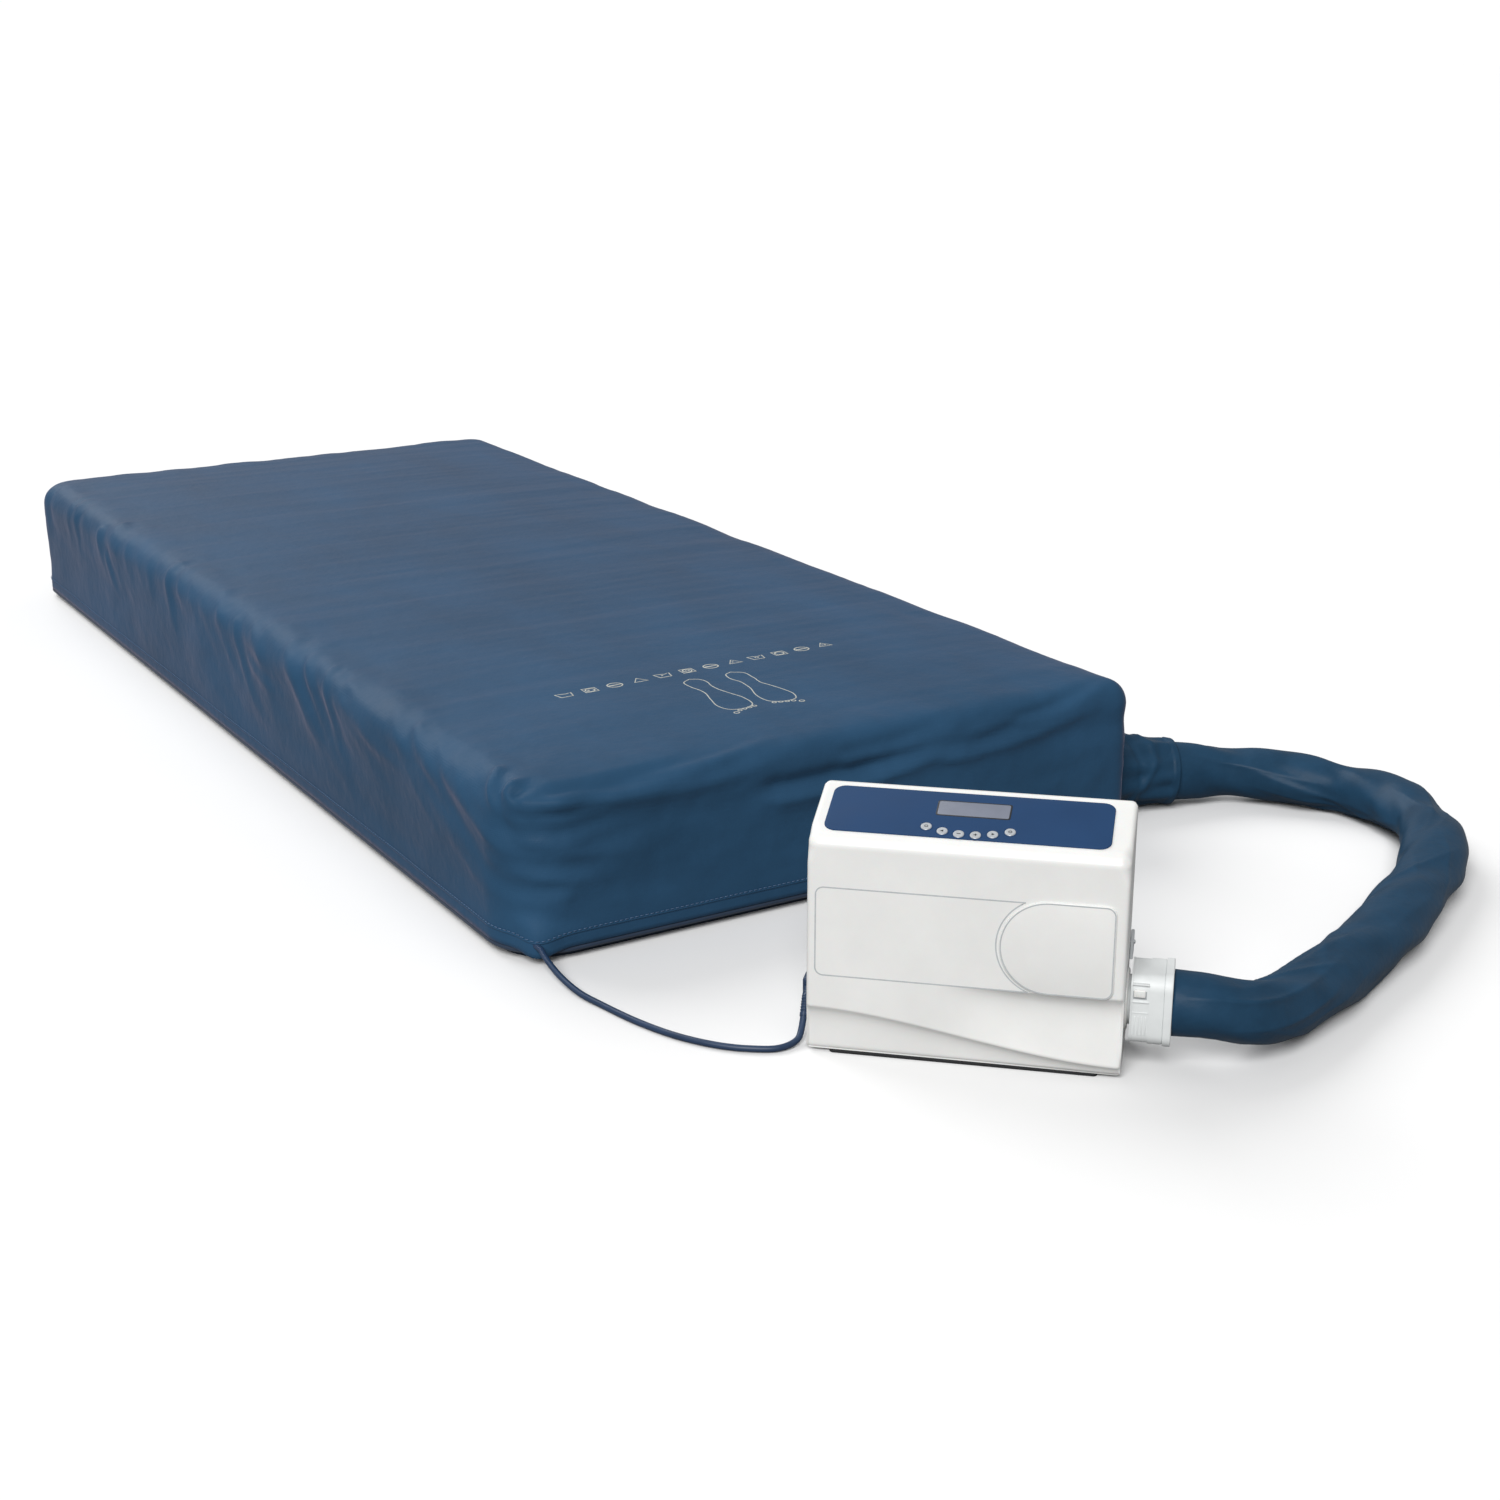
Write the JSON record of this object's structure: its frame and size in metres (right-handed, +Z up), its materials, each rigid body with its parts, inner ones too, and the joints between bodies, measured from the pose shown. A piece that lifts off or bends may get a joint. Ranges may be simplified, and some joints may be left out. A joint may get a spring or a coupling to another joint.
{
  "type": "pressure relief air mattress",
  "caption": "Alternating air mattress in a soft zipped cover, joined by a fabric-sleeved umbilical hose to a compact air pump with a sloped control panel, with its mains lead.",
  "frame": {"origin": "centre of the mattress's underside, on the floor", "axes": "+X to the right along the foot end, +Y from the foot end to the head end, +Z up"},
  "size_m": [1.2086, 2.7299, 0.259],
  "materials": {
    "navy_cloth": "coated stretch fabric, soft sheen",
    "dark_cloth": "coated fabric, matte",
    "zip_tape": "woven tape with moulded teeth",
    "steel": "plated",
    "cell_film": "coated nylon, satin",
    "clear_tube": "clear flexible tube",
    "white_shell": "satin moulded",
    "grey_part": "matte moulded",
    "blue_panel": "satin printed film",
    "display_glass": "gloss",
    "key_silver": "satin",
    "board_green": "solder mask",
    "black_plastic": "matte moulded",
    "black_rubber": "matte",
    "pump_metal": "die cast",
    "filter_foam": "open foam",
    "cord_jacket": "satin"
  },
  "bodies": {
    "assembly": {"top_cover": "navy_cloth", "hem_piping": "dark_cloth", "base_cover": "dark_cloth", "zip_chain": "zip_tape", "air_cell_01": "cell_film", "air_cell_02": "cell_film", "air_cell_03": "cell_film", "air_cell_04": "cell_film", "air_cell_05": "cell_film", "air_cell_06": "cell_film", "air_cell_07": "cell_film", "air_cell_08": "cell_film", "air_cell_09": "cell_film", "air_cell_10": "cell_film", "air_cell_11": "cell_film", "air_cell_12": "cell_film", "air_cell_13": "cell_film", "air_cell_14": "cell_film", "air_cell_15": "cell_film", "air_cell_16": "cell_film", "supply_line_a": "clear_tube", "supply_line_b": "clear_tube", "deflation_valve_body": "white_shell", "umbilical_boot": "navy_cloth", "umbilical_sleeve": "navy_cloth", "air_hose_a": "clear_tube", "air_hose_b": "clear_tube", "hose_connector": "white_shell", "front_housing": "white_shell", "rear_housing": "white_shell", "control_overlay": "blue_panel", "display_window": "display_glass", "circuit_board": "board_green", "mains_inlet": "black_plastic", "mains_connector": "cord_jacket", "front_foot": "black_rubber", "rear_foot": "black_rubber", "compressor": "pump_metal", "valve_block": "grey_part", "air_filter": "filter_foam", "mains_cord_free": "cord_jacket", "mains_cord_held": "cord_jacket", "mains_cord_coil": "cord_jacket", "coil_tie": "black_rubber", "mains_plug": "cord_jacket"},
    "button_1": {"button_1": "key_silver"},
    "button_2": {"button_2": "key_silver"},
    "button_3": {"button_3": "key_silver"},
    "button_4": {"button_4": "key_silver"},
    "button_5": {"button_5": "key_silver"},
    "button_6": {"button_6": "key_silver"},
    "power_switch": {"power_switch": "black_plastic"},
    "release_lever": {"release_lever": "grey_part"},
    "connector_latch": {"connector_latch": "white_shell"},
    "left_hook": {"left_hook": "grey_part"},
    "right_hook": {"right_hook": "grey_part"},
    "deflation_valve_cap": {"deflation_valve_cap": "grey_part"},
    "zip_slider": {"zip_slider": "steel"},
    "zip_pull": {"zip_pull": "steel"},
    "valve_rotor": {"valve_rotor": "white_shell"}
  },
  "joints": [
    {"name": "button_1_press", "type": "slide", "parent": "assembly", "child": "button_1", "axis": [0.1638, 0.1759, -0.9707], "range_m": [0, 0.0006], "stiffness_N_per_m": 3000},
    {"name": "button_2_press", "type": "slide", "parent": "assembly", "child": "button_2", "axis": [0.1638, 0.1759, -0.9707], "range_m": [0, 0.0006], "stiffness_N_per_m": 3000},
    {"name": "button_3_press", "type": "slide", "parent": "assembly", "child": "button_3", "axis": [0.1638, 0.1759, -0.9707], "range_m": [0, 0.0006], "stiffness_N_per_m": 3000},
    {"name": "button_4_press", "type": "slide", "parent": "assembly", "child": "button_4", "axis": [0.1638, 0.1759, -0.9707], "range_m": [0, 0.0006], "stiffness_N_per_m": 3000},
    {"name": "button_5_press", "type": "slide", "parent": "assembly", "child": "button_5", "axis": [0.1638, 0.1759, -0.9707], "range_m": [0, 0.0006], "stiffness_N_per_m": 3000},
    {"name": "button_6_press", "type": "slide", "parent": "assembly", "child": "button_6", "axis": [0.1638, 0.1759, -0.9707], "range_m": [0, 0.0006], "stiffness_N_per_m": 3000},
    {"name": "power_switch_rock", "type": "hinge", "parent": "assembly", "child": "power_switch", "pos_m": [-0.21345, -1.25794, 0.1], "axis": [0.6816, 0.7317, 0], "range_deg": [-7, 7]},
    {"name": "release_lever_turn", "type": "hinge", "parent": "assembly", "child": "release_lever", "pos_m": [0.02285, -1.46715, 0.1135], "axis": [0.7317, -0.6816, 0], "range_deg": [0, 12], "stiffness_Nm_per_rad": 0.1},
    {"name": "connector_latch_tip", "type": "hinge", "parent": "assembly", "child": "connector_latch", "pos_m": [-0.00549, -1.52001, 0.085], "axis": [0, 0, -1], "range_deg": [0, 12]},
    {"name": "left_hook_swing", "type": "hinge", "parent": "assembly", "child": "left_hook", "pos_m": [-0.15249, -1.271, 0.214], "axis": [0, 0, 1], "range_deg": [0, 90]},
    {"name": "right_hook_swing", "type": "hinge", "parent": "assembly", "child": "right_hook", "pos_m": [-0.0003, -1.41278, 0.214], "axis": [0, 0, -1], "range_deg": [0, 90]},
    {"name": "deflation_cap_turn", "type": "hinge", "parent": "assembly", "child": "deflation_valve_cap", "pos_m": [0.4386, 0.76, 0.1], "axis": [1, 0, 0], "range_deg": [0, 90]},
    {"name": "zip_slider_run", "type": "slide", "parent": "assembly", "child": "zip_slider", "axis": [0, 1, 0], "range_m": [0, 1.4]},
    {"name": "zip_pull_swing", "type": "hinge", "parent": "zip_slider", "child": "zip_pull", "pos_m": [0.428, -0.7, 0.036], "axis": [1, 0, 0], "range_deg": [-80, 80]},
    {"name": "valve_rotor_turn", "type": "hinge", "parent": "assembly", "child": "valve_rotor", "pos_m": [-0.03554, -1.45648, 0.095], "axis": [0, 0, 1], "continuous": true}
  ],
  "couplings": [
    {"joint": "connector_latch_tip", "follows": "release_lever_turn", "ratio": 1}
  ]
}
